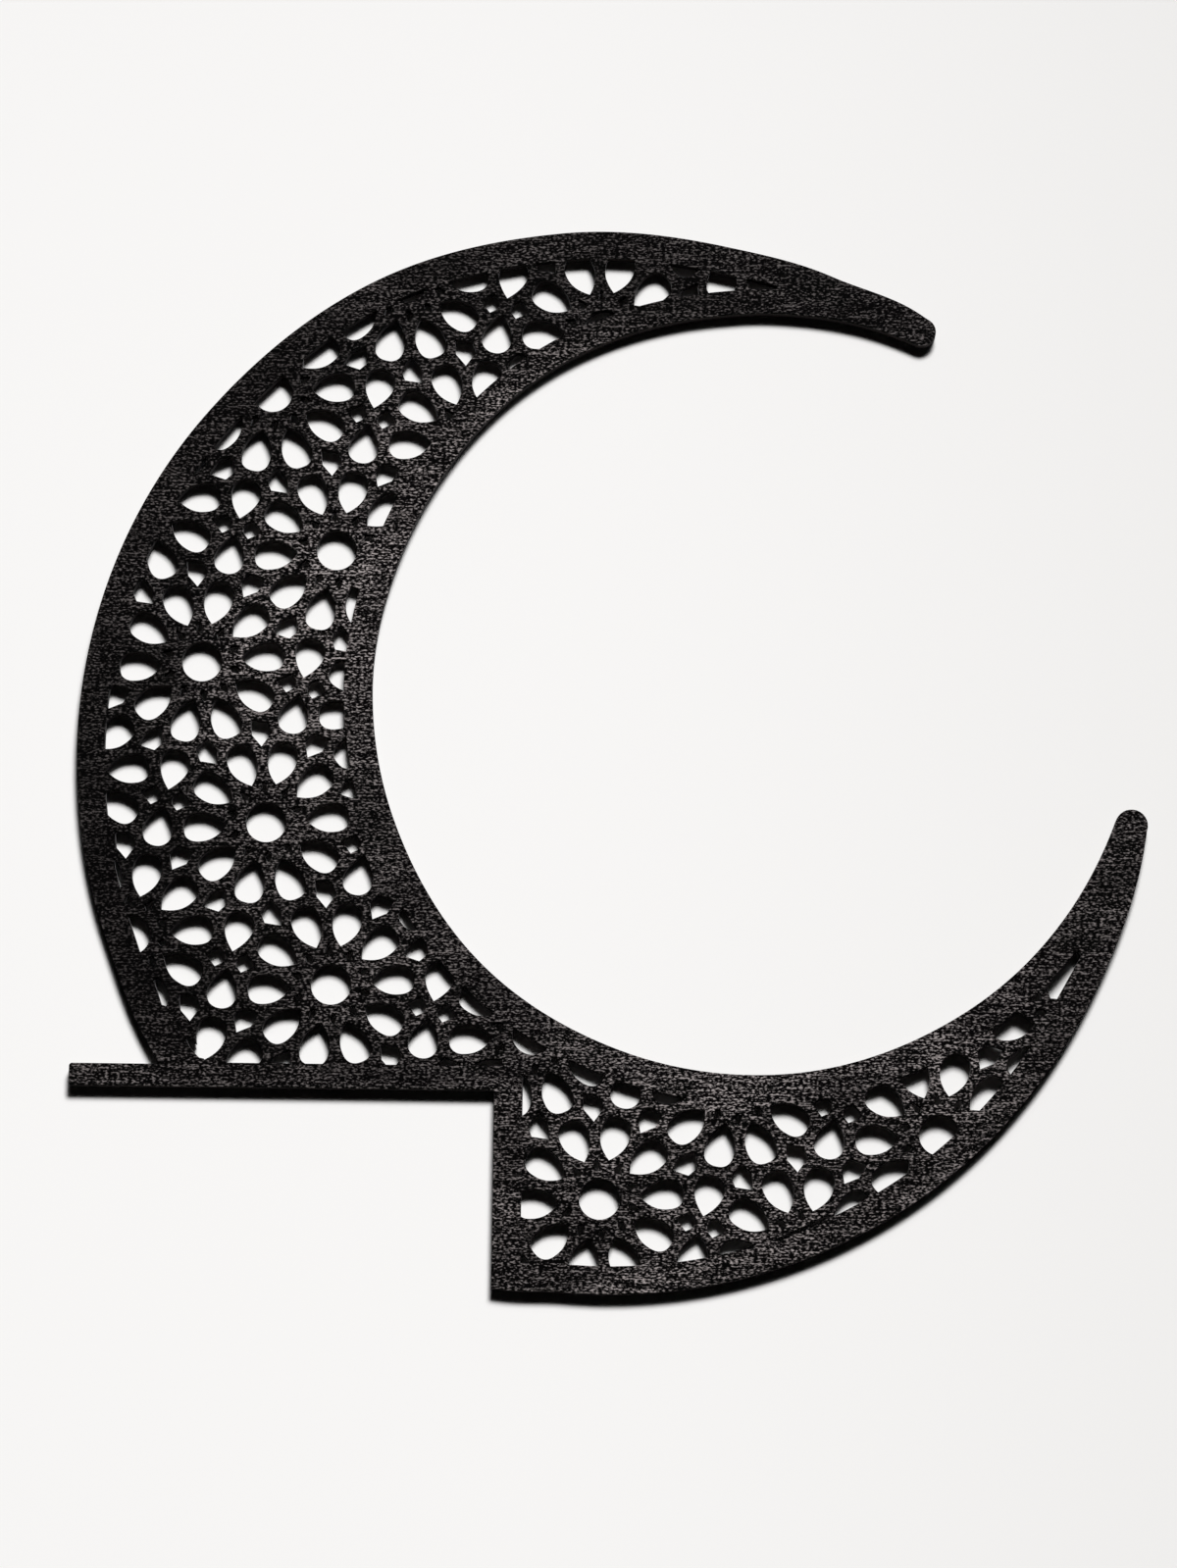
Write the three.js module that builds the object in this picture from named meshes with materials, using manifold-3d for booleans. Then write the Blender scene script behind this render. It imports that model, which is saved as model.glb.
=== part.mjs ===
// Door corner decoration: a crescent moon cut from one thin wooden sheet, with a lattice of ten-petalled
// rosettes cut through it. It stands on the top outer corner of a door frame. Its straight ledge rests on
// the frame, the notch below the ledge clears the frame's side, and soft double-sided pads hold its back
// to the wall.
//
// All sizes are in millimetres and all directions in degrees, counter-clockwise as seen from the room.
// +X is to the right as seen from the room, +Y goes into the wall and +Z is up.
// The origin is the notch's inner corner, on the surface of the wall.

import * as THREE from 'three';
import { mergeGeometries, mergeVertices } from 'three/addons/utils/BufferGeometryUtils.js';
import Module from 'manifold-3d';

const wasm = await Module();
wasm.setup();

// Sheet
const sheetThickness = 3;

// Crescent: the circle of the outer edge, the belly's width opposite the mouth, and how far the circle of
// the inner edge reaches past the outer one in the direction of the mouth
const outerRadius = 137.4;
const outerCentreX = 28.5;
const outerCentreZ = 86.6;
const bellyWidth = 79.4;
const mouthOvershoot = 1.6;
const mouthDirection = 24.7;
const upperTipRadius = 3.7;
const lowerTipRadius = 4.14;

// Both edges were drawn by hand. Each pair is a direction from the centre of the edge and how far the edge
// swells past its circle there.
const outerSwell = [[56, 2.5], [66, 0], [78, -1.1], [96, -0.1], [116, 1], [140, 0], [184, -0.6],
  [200, -0.3], [215, 1.9], [258, 2], [266, 0.3], [304, 0.3], [334, -0.5], [350, 0.3]];
const innerSwell = [[70, 1], [88, 0.3], [96, 0], [122, 0.4], [160, -1], [180, -0.4], [200, -0.3],
  [228, 0.7], [250, 0.3], [275, 0.3], [305, -0.3], [338, -1]];

// Ledge that rests on the door frame, measured from the notch's inner corner
const ledgeLength = 108.1;
const ledgeHeight = 5.7;
const ledgeCornerRadius = 0.8;

// Solid margins that frame the lattice
const outerRim = 7.1;
const innerRim = 7.3;
const ledgeMargin = 6.2;
const notchMargin = 7.2;

// The inner rim is narrower over the mouth. Each pair is a direction and how far the rim swells there.
const innerRimSwell = [[95, -0.9], [138, -0.9], [152, 0], [350, 0]];

// Lattice: the spacing from rosette to rosette, how it is turned, where one rosette stands, and the width
// of the webs left between neighbouring openings
const rosetteSpacing = 45;
const latticeTurn = -13.25;
const firstRosetteX = -59.3;
const firstRosetteZ = 68;
const webWidth = 2.4;
const hubHoleRadius = 5.2;
const hubRingWidth = 2.1;
const dotLength = 3.1;
const dotWidth = 2.1;
const petalTipRadius = 10.05;

// Openings cut by a margin that are smaller than this area are left out. So are the ones whose middles are
// listed here, which were never cut.
const smallestOpening = 3.4;
const uncutReach = 1;
const uncutOpenings = [[-50.7, 66.1], [-17.2, 170.2], [-36.8, 132.1], [18.4, -25.2], [42.1, -42.7],
  [120.3, 14.6], [-97.2, 114.6], [60.9, -2.1], [88.8, 0], [-23.6, 158.3], [-27.2, 53.7], [-33.6, 68.4],
  [148.3, 36.9], [-85.9, 24.4], [-81.1, 13.2]];

// Openings drawn by hand: two beside the outer rim, where the webs between small openings are missing, and
// two narrow ones above the ledge, the second of which runs into a petal
const drawnOpenings = [
  [[147.6, 37.8], [144, 33.7], [139.1, 27.6], [142.1, 24.9], [148.3, 36.1]],
  [[71.6, -36.5], [72.4, -37.2], [86.5, -30.4], [84, -30.2], [81, -32.2]],
  [[-85, 20.8], [-83.7, 20.4], [-83, 22], [-83.4, 24.3], [-84.5, 26.4], [-86.3, 27.8], [-87.2, 27.3]],
  [[-78.5, 12.1], [-77.6, 10.3], [-76.5, 8.9], [-75, 7.4], [-73.8, 7.2], [-74, 10.4], [-76.8, 11.2],
    [-77.3, 12.5], [-78.2, 12.8]],
];

// Shapes of the openings, as shares of half the rosette spacing. A petal's spread is a share of its
// tenth of the circle, and the belly is where along a petal it is widest.
const petalSpread = 0.78;
const petalBelly = 0.63;
const arrowReach = 0.5;
const arrowTail = 0.12;
const kiteShoulder = 0.19;
const crossPetalReach = 0.62;
const crossPetalSpread = 0.225;
const crossPetalBelly = 0.65;

// How full the petals' flanks and blunt ends are
const petalFlankPower = 2.3;
const petalEndPower = 2.45;
const crossFlankPower = 1.9;
const crossEndPower = 2.1;

// How far the corners of the openings stay back from where the webs' middle lines meet, in web widths
const petalSetback = 0.8;
const wedgeTipSetback = 1.2;
const arrowNeckSetback = 0.42;
const arrowReachSetback = 0.55;
const kiteShoulderSetback = 1.44;
const kiteWaistSetback = 0.76;
const kiteEndSetback = 0.6;
const kiteWidthSetback = 0.7;
const crossPetalSetback = 0.89;

// Double-sided foam pads on the back: their size, where the rims' pads sit as directions from the centre
// of the edge, and how far the ledge's pads stay from its ends
const padThickness = 1;
const padWidth = 5;
const padLength = 24;
const outerRimPads = [72, 122, 172, 288, 334];
const innerRimPads = [214];
const ledgePadInset = 6;

// How finely round edges are divided
const outlineStep = 4;
const capSteps = 8;
const ledgeCornerSteps = 3;
const hubHoleSides = 16;
const petalFlankSteps = 3;
const petalEndSteps = 3;

// Sizes that follow from the ones above
const degree = Math.PI / 180;
const centre = new THREE.Vector2();
const outerCentre = new THREE.Vector2(outerCentreX, outerCentreZ);
const innerRadius = (2 * outerRadius - bellyWidth + mouthOvershoot) / 2;
const innerCentre = pointAt(outerCentre, outerRadius + mouthOvershoot - innerRadius, mouthDirection);
const petals = 10;
const petalPitch = 360 / petals;
const apothem = rosetteSpacing / 2;
const halfShortDiagonal = rosetteSpacing * Math.sin(petalPitch * degree);
const halfLongDiagonal = rosetteSpacing * Math.cos(petalPitch * degree);
const cutClearance = 1;
const cutDepth = sheetThickness + 2 * cutClearance;
const cutReach = 4 * outerRadius;

// Crescent outline

function pointAt(origin, radius, direction) {
  const angle = direction * Math.PI / 180;
  return new THREE.Vector2(origin.x + radius * Math.cos(angle), origin.y + radius * Math.sin(angle));
}

// The swell in one direction, blended smoothly between the two listed directions round it
function swellAt(list, direction) {
  const [firstDirection, firstSwell] = list[0];
  const cycle = [...list, [firstDirection + 360, firstSwell]];
  const angle = firstDirection + THREE.MathUtils.euclideanModulo(direction - firstDirection, 360);
  const next = cycle.findIndex(([listed]) => listed > angle);
  const [fromAngle, fromSwell] = cycle[next - 1];
  const [toAngle, toSwell] = cycle[next];
  const share = THREE.MathUtils.smoothstep(angle, fromAngle, toAngle);
  return THREE.MathUtils.lerp(fromSwell, toSwell, share);
}

// A point of the outer or the inner edge, moved into the wood by a margin
function outerEdge(direction, margin = 0) {
  return pointAt(outerCentre, outerRadius + swellAt(outerSwell, direction) - margin, direction);
}

function innerEdge(direction, margin = 0) {
  return pointAt(innerCentre, innerRadius + swellAt(innerSwell, direction) + margin, direction);
}

// A point of the inner rim, a share of the way from the mouth's edge to the lattice
function innerRimPoint(direction, share) {
  return innerEdge(direction, share * (innerRim + swellAt(innerRimSwell, direction)));
}

function edgeRun(edge, from, to, margin = 0) {
  const count = Math.max(2, Math.round(Math.abs(to - from) / outlineStep));
  return Array.from({ length: count + 1 }, (_, i) => edge(from + (to - from) * i / count, margin));
}

// How wide the crescent is at a point of its outer edge, and the direction of the inner edge there
function hornAt(outerDirection) {
  const fromInnerCentre = outerEdge(outerDirection).sub(innerCentre);
  const innerDirection = fromInnerCentre.angle() / degree;
  const width = fromInnerCentre.length() - innerRadius - swellAt(innerSwell, innerDirection);
  return { outerDirection, innerDirection, width };
}

// Where a horn has narrowed to its round tip. The side is 1 for the upper horn and -1 for the lower one.
function hornEnd(tipRadius, side) {
  const searchStep = 0.1;
  let swing = 90;
  let horn = hornAt(mouthDirection + side * swing);
  while (horn.width > 2 * tipRadius && swing > 0) {
    swing -= searchStep;
    horn = hornAt(mouthDirection + side * swing);
  }
  return horn;
}

// The points between the two ends of a half circle that turns clockwise from one end to the other
function roundCap(from, to) {
  const middle = from.clone().lerp(to, 0.5);
  const turns = Array.from({ length: capSteps - 1 }, (_, i) => -Math.PI * (i + 1) / capSteps);
  return turns.map((turn) => from.clone().rotateAround(middle, turn));
}

function crescentOutline() {
  const upper = hornEnd(upperTipRadius, 1);
  const lower = hornEnd(lowerTipRadius, -1);
  const outer = edgeRun(outerEdge, lower.outerDirection, upper.outerDirection - 360);
  const inner = edgeRun(innerEdge, upper.innerDirection, lower.innerDirection);
  return [...outer, ...roundCap(outer.at(-1), inner[0]), ...inner, ...roundCap(inner.at(-1), outer[0])];
}

function fullCircle(edge, margin) {
  return edgeRun(edge, 0, 360, margin).slice(1);
}

// The ledge runs under the solid margin beside the notch, and its free end has rounded corners
function ledgeOutline() {
  const left = ledgeCornerRadius - ledgeLength;
  const corner = (y, from) => Array.from({ length: ledgeCornerSteps + 1 }, (_, i) => (
    pointAt(new THREE.Vector2(left, y), ledgeCornerRadius, from + 90 * i / ledgeCornerSteps)));
  return [
    new THREE.Vector2(notchMargin, 0),
    new THREE.Vector2(notchMargin, ledgeHeight),
    ...corner(ledgeHeight - ledgeCornerRadius, 90),
    ...corner(ledgeCornerRadius, 180),
  ];
}

// Everything to the left of one line and below another
function lowerLeft(right, top) {
  return [
    new THREE.Vector2(right, top),
    new THREE.Vector2(-cutReach, top),
    new THREE.Vector2(-cutReach, -cutReach),
    new THREE.Vector2(right, -cutReach),
  ];
}

// Openings of the lattice. Each is drawn along X, from its own hub or middle.

// Both halves of an opening that is mirrored across the X axis, from the points of one half
function mirrored(half) {
  const upper = half.map(([x, y]) => new THREE.Vector2(x, y));
  const lower = upper.filter((point) => point.y > 0).map((point) => new THREE.Vector2(point.x, -point.y));
  return [...upper, ...lower.reverse()];
}

// A petal whose flanks open out from a pointed tip to its belly and close again in a blunt end
function petalOutline({ start, end, halfWidth, belly, flankPower, endPower }) {
  const length = end - start;
  const flank = Array.from({ length: petalFlankSteps }, (_, i) => {
    const along = (i + 1) / petalFlankSteps;
    return [start + length * belly * along, halfWidth * (1 - (1 - along) ** flankPower)];
  });
  const bluntEnd = Array.from({ length: petalEndSteps }, (_, i) => {
    const turn = 90 * degree * (i + 1) / petalEndSteps;
    const along = Math.sin(turn) ** (2 / endPower);
    const across = i + 1 < petalEndSteps ? Math.cos(turn) ** (2 / endPower) : 0;
    return [start + length * (belly + (1 - belly) * along), halfWidth * across];
  });
  return mirrored([[start, 0], ...flank, ...bluntEnd]);
}

const hubHole = Array.from({ length: hubHoleSides }, (_, i) => (
  pointAt(centre, hubHoleRadius, 360 * i / hubHoleSides)));

// Drop between two petals, beside the hub
const dotStart = hubHoleRadius + hubRingWidth;
const dot = mirrored([
  [dotStart, 0],
  [dotStart + dotLength / 3, dotWidth / 2],
  [dotStart + dotLength, dotWidth / 8],
]);

// Petal of a rosette, from the hub to the line that it shares with the next rosette
const petalHalfAngle = petalPitch / 2 * degree;
const petalHalfWidth = petalSpread * apothem * Math.tan(petalHalfAngle) - petalSetback * webWidth;
const rosettePetal = petalOutline({
  start: petalTipRadius,
  end: apothem - webWidth / 2,
  halfWidth: petalHalfWidth,
  belly: petalBelly,
  flankPower: petalFlankPower,
  endPower: petalEndPower,
});

// Arrow beside two petals that meet end to end, drawn along the line between their rosettes
const wedgeTipRadius = apothem - wedgeTipSetback * webWidth;
const arrow = mirrored([
  [petalHalfWidth + arrowNeckSetback * webWidth, 0],
  [wedgeTipRadius * Math.sin(petalHalfAngle), apothem - wedgeTipRadius * Math.cos(petalHalfAngle)],
  [arrowReach * apothem - arrowReachSetback * webWidth, arrowTail * apothem - webWidth / 2],
]);

// Kite from a rosette towards the cross in the middle of the rhombus that four rosettes stand on
const kiteHalfWidth = kiteShoulder * apothem - kiteWidthSetback * webWidth;
const kite = mirrored([
  [wedgeTipRadius, 0],
  [halfShortDiagonal - kiteShoulderSetback * webWidth, kiteHalfWidth],
  [halfShortDiagonal - kiteWaistSetback * webWidth, kiteHalfWidth / 2],
  [halfShortDiagonal - kiteEndSetback * webWidth, 0],
]);

// Petal of that cross, from the middle of the rhombus along its long diagonal
const crossPetal = petalOutline({
  start: crossPetalSetback * webWidth,
  end: crossPetalReach * apothem - webWidth / 2,
  halfWidth: crossPetalSpread * apothem - webWidth / 2,
  belly: crossPetalBelly,
  flankPower: crossFlankPower,
  endPower: crossEndPower,
});

// Solids are cut flat, with the drawing's Y up the sheet and Z through it, and stood up afterwards

function extrude(points, depth) {
  return new THREE.ExtrudeGeometry(new THREE.Shape(points), { depth, bevelEnabled: false });
}

function toSolid(geometry) {
  const bare = geometry.clone();
  bare.deleteAttribute('normal');
  bare.deleteAttribute('uv');
  const merged = mergeVertices(bare);
  const vertProperties = new Float32Array(merged.attributes.position.array);
  const triVerts = new Uint32Array(merged.index.array);
  return new wasm.Manifold(new wasm.Mesh({ numProp: 3, vertProperties, triVerts }));
}

function toGeometry(solid) {
  const mesh = solid.getMesh();
  const geometry = new THREE.BufferGeometry();
  geometry.setAttribute('position', new THREE.BufferAttribute(mesh.vertProperties, 3));
  geometry.setIndex(new THREE.BufferAttribute(mesh.triVerts, 1));
  geometry.computeVertexNormals();
  return geometry;
}

function sheet(points) {
  return toSolid(extrude(points, sheetThickness));
}

function cutter(points) {
  return toSolid(extrude(points, cutDepth).translate(0, 0, -cutClearance));
}

// Turn by a direction about the drawing's own centre, then move to a place
function placement(place, direction) {
  return new THREE.Matrix4().makeTranslation(place.x, place.y, 0)
    .multiply(new THREE.Matrix4().makeRotationZ(direction * degree));
}

// The openings that belong to one rosette: its own, and its share of those between it and its neighbours
function rosetteOpenings() {
  const petalTurns = Array.from({ length: petals }, (_, i) => petalPitch * i);
  const cross = new THREE.Vector2(halfShortDiagonal, 0);
  const sharedLines = [1.5 * petalPitch, -1.5 * petalPitch];
  const openings = [
    [hubHole, centre, 0],
    ...petalTurns.map((turn) => [dot, centre, turn]),
    ...petalTurns.map((turn) => [rosettePetal, centre, turn + petalPitch / 2]),
    ...[0, 180].map((turn) => [kite, centre, turn]),
    ...[90, -90].map((turn) => [crossPetal, cross, turn]),
    ...sharedLines.map((turn) => [arrow, pointAt(centre, apothem, turn), turn + 90]),
    ...sharedLines.map((turn) => [arrow, pointAt(centre, apothem, turn), turn - 90]),
  ];
  const prisms = openings.map(([outline, place, turn]) => (
    extrude(outline, cutDepth).applyMatrix4(placement(place, turn))));
  return mergeGeometries(prisms);
}

// Rosettes stand in rows along the lattice's X axis, every second row half a step along
function rosettePlaces() {
  const latticeFrame = placement(new THREE.Vector2(firstRosetteX, firstRosetteZ), latticeTurn);
  const reach = outerRadius + rosetteSpacing;
  const steps = Math.ceil(2 * reach / halfShortDiagonal);
  const places = [];
  for (let row = -steps; row <= steps; row += 1) {
    for (let column = -steps; column <= steps; column += 1) {
      const place = new THREE.Vector3(column * halfShortDiagonal, row * halfLongDiagonal, 0);
      const distance = place.clone().applyMatrix4(latticeFrame).distanceTo(
        new THREE.Vector3(outerCentreX, outerCentreZ, 0),
      );
      if ((row + column) % 2 === 0 && distance < reach) {
        places.push(latticeFrame.clone().multiply(placement(place, 0)));
      }
    }
  }
  return places;
}

function isCut(piece) {
  const box = piece.boundingBox();
  const middle = new THREE.Vector2(box.min[0] + box.max[0], box.min[1] + box.max[1]).multiplyScalar(0.5);
  const uncut = uncutOpenings.some(([x, y]) => middle.distanceTo(new THREE.Vector2(x, y)) < uncutReach);
  return piece.volume() > smallestOpening * cutDepth && !uncut;
}

// The lattice is cut only inside the rims, above the ledge and beside the notch
function latticeCuts() {
  const rosette = rosetteOpenings().translate(0, 0, -cutClearance);
  const everyOpening = toSolid(mergeGeometries(
    rosettePlaces().map((place) => rosette.clone().applyMatrix4(place)),
  ));
  const field = cutter(fullCircle(outerEdge, outerRim))
    .subtract(cutter(fullCircle(innerRimPoint, 1)))
    .subtract(cutter(lowerLeft(notchMargin, ledgeMargin)));
  const pieces = everyOpening.intersect(field).decompose().filter(isCut);
  const drawn = drawnOpenings.map((corners) => cutter(corners.map(([x, y]) => new THREE.Vector2(x, y))));
  return wasm.Manifold.union([...pieces, ...drawn]);
}

function panelGeometry() {
  const panel = sheet(crescentOutline())
    .subtract(cutter(lowerLeft(0, 0)))
    .add(sheet(ledgeOutline()))
    .subtract(latticeCuts());
  return toGeometry(panel).rotateX(90 * degree);
}

// Materials

const blackPaintedWood = new THREE.MeshStandardMaterial({ color: 0x292524, roughness: 0.7, metalness: 0 });

function foam() {
  return new THREE.MeshStandardMaterial({ color: 0x242322, roughness: 0.95, metalness: 0 });
}

// Assembly

const decoration = new THREE.Group();
const panel = new THREE.Mesh(panelGeometry(), blackPaintedWood);
panel.name = 'lattice_panel';
panel.position.y = -padThickness;
decoration.add(panel);

// Rim pads lie along the middle of their rim, ledge pads along the middle of the ledge
const ledgePadReach = ledgePadInset + padLength / 2;
const padPlaces = [
  ...outerRimPads.map((turn) => [outerEdge(turn, outerRim / 2), turn + 90]),
  ...innerRimPads.map((turn) => [innerRimPoint(turn, 1 / 2), turn + 90]),
  [new THREE.Vector2(ledgePadReach - ledgeLength, ledgeHeight / 2), 0],
  [new THREE.Vector2(-ledgePadReach, ledgeHeight / 2), 0],
];
padPlaces.forEach(([place, turn], i) => {
  const pad = new THREE.Mesh(new THREE.BoxGeometry(padLength, padThickness, padWidth), foam());
  pad.name = `foam_pad_${i + 1}`;
  pad.position.set(place.x, -padThickness / 2, place.y);
  pad.rotation.y = -turn * degree;
  decoration.add(pad);
});

export default decoration;
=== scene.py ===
# %% [markdown]
# A crescent moon for the top corner of a door frame
#
# The real object is one thin sheet of plywood, painted black, with a lattice of ten-petalled rosettes
# burnt out of it by a laser. A few soft pads behind it hold it to the wall. This lesson rebuilds it in
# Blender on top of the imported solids: first the camera and the lamps, then the outline and the wall,
# then the finely cut sheet with its paint and its charred edges, and last the pads.

import math

import bpy
import numpy as np
from mathutils import Euler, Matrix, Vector
from mathutils.geometry import delaunay_2d_cdt


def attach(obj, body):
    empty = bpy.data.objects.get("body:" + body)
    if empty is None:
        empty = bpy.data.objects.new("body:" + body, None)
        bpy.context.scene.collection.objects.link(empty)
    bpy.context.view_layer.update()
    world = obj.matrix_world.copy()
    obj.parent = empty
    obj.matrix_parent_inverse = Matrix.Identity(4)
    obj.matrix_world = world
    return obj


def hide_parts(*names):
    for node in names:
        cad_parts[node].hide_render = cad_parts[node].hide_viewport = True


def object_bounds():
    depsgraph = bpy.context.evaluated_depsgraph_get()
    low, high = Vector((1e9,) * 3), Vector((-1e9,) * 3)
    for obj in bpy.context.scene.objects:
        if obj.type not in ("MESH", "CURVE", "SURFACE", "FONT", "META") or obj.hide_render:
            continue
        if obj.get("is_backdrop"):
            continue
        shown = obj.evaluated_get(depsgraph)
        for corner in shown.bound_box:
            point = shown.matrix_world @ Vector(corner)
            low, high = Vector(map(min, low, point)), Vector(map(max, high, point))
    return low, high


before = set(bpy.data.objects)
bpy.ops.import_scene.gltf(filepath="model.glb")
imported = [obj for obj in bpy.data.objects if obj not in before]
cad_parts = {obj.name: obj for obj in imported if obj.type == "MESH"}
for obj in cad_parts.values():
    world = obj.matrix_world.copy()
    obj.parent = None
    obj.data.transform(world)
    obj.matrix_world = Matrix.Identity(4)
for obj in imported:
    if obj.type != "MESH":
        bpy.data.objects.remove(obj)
solid_low, solid_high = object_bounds()
scene = bpy.context.scene
scene.view_settings.view_transform = "Standard"
MM = 0.001
print("solids", sorted(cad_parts))

# %% [markdown]
# The camera
#
# The photograph was taken from well back with a long lens, a little below the middle of the moon and
# tilted up at it. A camera 1.3 metres away with a 118 mm lens has the same gentle perspective: lines stay
# almost parallel and only a hair of the cut edges shows. The picture was trimmed at one side afterwards,
# so the camera gets a small sideways shift too.

# %% Camera
CAMERA_PLACE, CAMERA_TURN = (0.0401, -1.3, -0.1164), (98.594, -0.888, 1.783)

camera_data = bpy.data.cameras.new("camera")
camera_data.lens = 117.84
camera_data.shift_x = 0.0654
camera_data.shift_y = -0.0028
camera_data.clip_start = 0.01
camera_data.clip_end = 20
camera = bpy.data.objects.new("camera", camera_data)
camera.location = CAMERA_PLACE
camera.rotation_euler = Euler([math.radians(angle) for angle in CAMERA_TURN])
scene.collection.objects.link(camera)
scene.camera = camera
print("camera at", CAMERA_PLACE, "m, turned by", CAMERA_TURN, "degrees")

# %% [markdown]
# Helpers for finishes
#
# Every finish in this lesson is drawn by nodes from the position on the object, so it needs no picture
# and stays sharp at any distance. These short helpers add one node each and return the socket that the
# next node reads.

# %% Node helpers


def new_group(name, inputs, outputs):
    group = bpy.data.node_groups.new(name, "ShaderNodeTree")
    for label, kind, value in inputs:
        socket = group.interface.new_socket(label, in_out="INPUT", socket_type=kind)
        if value is not None:
            socket.default_value = value
    for label, kind in outputs:
        group.interface.new_socket(label, in_out="OUTPUT", socket_type=kind)
    return group, group.nodes.new("NodeGroupInput"), group.nodes.new("NodeGroupOutput")


def noise(nodes, links, vector, detail, roughness):
    node = nodes.new("ShaderNodeTexNoise")
    node.inputs["Scale"].default_value = 1.0
    node.inputs["Detail"].default_value = detail
    node.inputs["Roughness"].default_value = roughness
    links.new(vector, node.inputs["Vector"])
    return node.outputs["Fac"]


def stretched(nodes, links, vector, scale):
    node = nodes.new("ShaderNodeMapping")
    node.inputs["Scale"].default_value = scale
    links.new(vector, node.inputs["Vector"])
    return node.outputs["Vector"]


def ramp(nodes, links, value, low, high, to_low=0.0, to_high=1.0):
    node = nodes.new("ShaderNodeMapRange")
    node.interpolation_type = "SMOOTHSTEP"
    node.inputs["From Min"].default_value = low
    node.inputs["From Max"].default_value = high
    node.inputs["To Min"].default_value = to_low
    node.inputs["To Max"].default_value = to_high
    links.new(value, node.inputs["Value"])
    return node.outputs["Result"]


def combine(nodes, links, operation, a, b):
    node = nodes.new("ShaderNodeMath")
    node.operation = operation
    for socket, value in zip(node.inputs, (a, b)):
        if isinstance(value, (int, float)):
            socket.default_value = value
        else:
            links.new(value, socket)
    return node.outputs[0]


def mix_colour(nodes, links, factor, a, b):
    node = nodes.new("ShaderNodeMix")
    node.data_type = "RGBA"
    links.new(factor, node.inputs["Factor"])
    for socket, value in ((node.inputs["A"], a), (node.inputs["B"], b)):
        if isinstance(value, tuple):
            socket.default_value = value
        else:
            links.new(value, socket)
    return node.outputs["Result"]


print("node helpers for groups, noise, ramps, sums and colours")

# %% Material helpers


def start_material(material):
    material.use_nodes = True
    nodes, links = material.node_tree.nodes, material.node_tree.links
    nodes.clear()
    shader = nodes.new("ShaderNodeBsdfPrincipled")
    out = nodes.new("ShaderNodeOutputMaterial")
    links.new(shader.outputs[0], out.inputs["Surface"])
    place = nodes.new("ShaderNodeTexCoord").outputs["Object"]
    return nodes, links, shader, place


def bump(nodes, links, shader, height, strength, distance):
    node = nodes.new("ShaderNodeBump")
    node.inputs["Strength"].default_value = strength
    node.inputs["Distance"].default_value = distance
    links.new(height, node.inputs["Height"])
    links.new(node.outputs["Normal"], shader.inputs["Normal"])


print("material helpers for a plain shader and its bumps")

# %% [markdown]
# The light
#
# Every edge that faces down throws a black band three millimetres long, and every edge that faces left
# only a faint grey one. The bands grow longer from the top of the moon to its bottom, so the lamp is
# near: 1.4 metres in front of the wall and one metre above the moon's middle. The bands fade out softly,
# as under a bright round shade with a weaker glow around it. Hardly any light comes from elsewhere. A
# near lamp would leave the bottom of the wall dim, so its light is set not to fade with distance, it is
# turned to face down, and its power is set so that a colour on the wall shows as it is written. A lamp
# behind the wall lights the moon's back, for views from there.

# %% Lamps
LAMP_PLACE, LAMP_FACING = (0.255, -1.4, 1.12), (-0.325, 0.29, -1.0)
BACK_PLACE, BACK_FACING = (0.03, 1.54, 1.01), (0, -1.54, -0.93)
middle = (solid_low + solid_high) / 2


def soft_lamp(name, place, facing, width, height, level):
    """A round area lamp. A level of 1 shows colours near the moon's middle as they are written."""
    facing = Vector(facing).normalized()
    beam = (middle - Vector(place)).normalized()
    data = bpy.data.lights.new(name, "AREA")
    data.shape = "ELLIPSE"
    data.size = width
    data.size_y = height
    data.energy = level * math.pi ** 2 / abs(beam.y) / beam.dot(facing)
    data.use_nodes = True
    nodes, links = data.node_tree.nodes, data.node_tree.links
    steady = nodes.new("ShaderNodeLightFalloff")
    steady.inputs["Strength"].default_value = 1
    emission = next(node for node in nodes if node.type == "EMISSION")
    links.new(steady.outputs["Constant"], emission.inputs["Strength"])
    lamp = bpy.data.objects.new(name, data)
    lamp.location = place
    lamp.rotation_euler = facing.to_track_quat("-Z", "Y").to_euler()
    lamp.visible_camera = False
    scene.collection.objects.link(lamp)
    return lamp


above = soft_lamp("lamp_above", LAMP_PLACE, LAMP_FACING, width=0.55, height=0.5, level=0.845)
glow = soft_lamp("lamp_glow", LAMP_PLACE, LAMP_FACING, width=1.02, height=0.93, level=0.17)
behind = soft_lamp("lamp_behind", BACK_PLACE, BACK_FACING, width=1.6, height=1.2, level=0.8)
print("lamps", [(lamp.name, round(lamp.data.energy, 1)) for lamp in (above, glow, behind)])

# %% [markdown]
# The room
#
# Past the wall the camera sees a pale room. That room is bright only to the camera. What it adds to the
# light on the moon is next to nothing, because soft light from all round would fill the black bands.

# %% Room
ROOM_SEEN, ROOM_FELT = (0.9, 0.89, 0.88, 1), (0.001, 0.001, 0.001, 1)

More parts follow.
